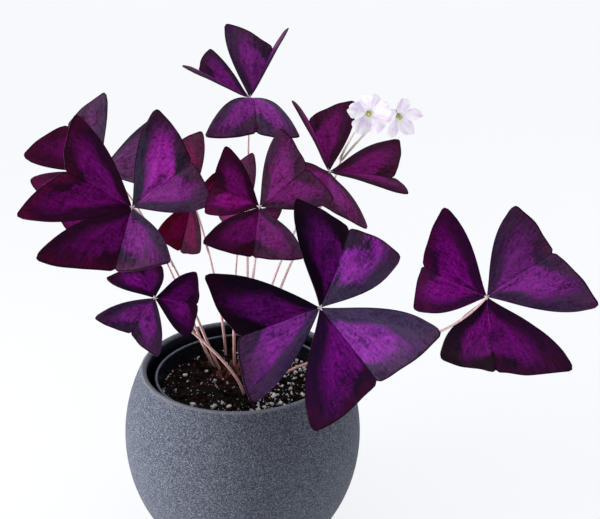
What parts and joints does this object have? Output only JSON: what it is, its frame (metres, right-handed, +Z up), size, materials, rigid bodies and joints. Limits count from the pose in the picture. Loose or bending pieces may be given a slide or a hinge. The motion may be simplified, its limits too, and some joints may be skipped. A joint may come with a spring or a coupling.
{
  "type": "potted purple shamrock",
  "caption": "Potted purple shamrock: folded purple leaflets on thin stems and small pale lilac flowers, in a black nursery pot inside a round speckled stoneware cover pot.",
  "frame": {"origin": "centre of the cover pot's flat base, on the surface that it stands on", "axes": "+Z up, -Y towards the plant's full side, +X to the right of someone who faces that side"},
  "size_m": [0.3452, 0.2034, 0.2982],
  "materials": {
    "stoneware": "matt, fine blue-grey speckle",
    "black_plastic": "glossy black",
    "soil": "dark brown peat with reddish fibres and white perlite",
    "blade": "satin, dark purple margins with a magenta-purple patch on each half",
    "stem": "satin, translucent pinkish",
    "petal": "soft, pale lilac to white",
    "green": "satin, pale green"
  },
  "bodies": {
    "root": {"cover_pot": "stoneware", "nursery_pot": "black_plastic", "potting_soil": "soil", "leaf_front_leaflet_1": "blade", "leaf_front_leaflet_2": "blade", "leaf_front_leaflet_3": "blade", "petiole_front": "stem", "leaf_right_leaflet_1": "blade", "leaf_right_leaflet_2": "blade", "leaf_right_leaflet_3": "blade", "petiole_right": "stem", "leaf_left_leaflet_1": "blade", "leaf_left_leaflet_2": "blade", "leaf_left_leaflet_3": "blade", "petiole_left": "stem", "leaf_back_left_leaflet_1": "blade", "leaf_back_left_leaflet_2": "blade", "leaf_back_left_leaflet_3": "blade", "petiole_back_left": "stem", "leaf_mid_left_leaflet_1": "blade", "leaf_mid_left_leaflet_2": "blade", "leaf_mid_left_leaflet_3": "blade", "petiole_mid_left": "stem", "leaf_top_leaflet_1": "blade", "leaf_top_leaflet_2": "blade", "leaf_top_leaflet_3": "blade", "petiole_top": "stem", "leaf_centre_leaflet_1": "blade", "leaf_centre_leaflet_2": "blade", "leaf_centre_leaflet_3": "blade", "petiole_centre": "stem", "leaf_upper_right_leaflet_1": "blade", "leaf_upper_right_leaflet_2": "blade", "leaf_upper_right_leaflet_3": "blade", "petiole_upper_right": "stem", "leaf_low_left_leaflet_1": "blade", "leaf_low_left_leaflet_2": "blade", "leaf_low_left_leaflet_3": "blade", "petiole_low_left": "stem", "leaf_inner_leaflet_1": "blade", "leaf_inner_leaflet_2": "blade", "leaf_inner_leaflet_3": "blade", "petiole_inner": "stem", "scape": "stem", "bloom_left_petal_1": "petal", "bloom_left_petal_2": "petal", "bloom_left_petal_3": "petal", "bloom_left_petal_4": "petal", "bloom_left_petal_5": "petal", "bloom_left_calyx": "green", "bloom_left_style": "green", "pedicel_left": "green", "bloom_right_petal_1": "petal", "bloom_right_petal_2": "petal", "bloom_right_petal_3": "petal", "bloom_right_petal_4": "petal", "bloom_right_petal_5": "petal", "bloom_right_calyx": "green", "bloom_right_style": "green", "pedicel_right": "green"}
  },
  "joints": []
}
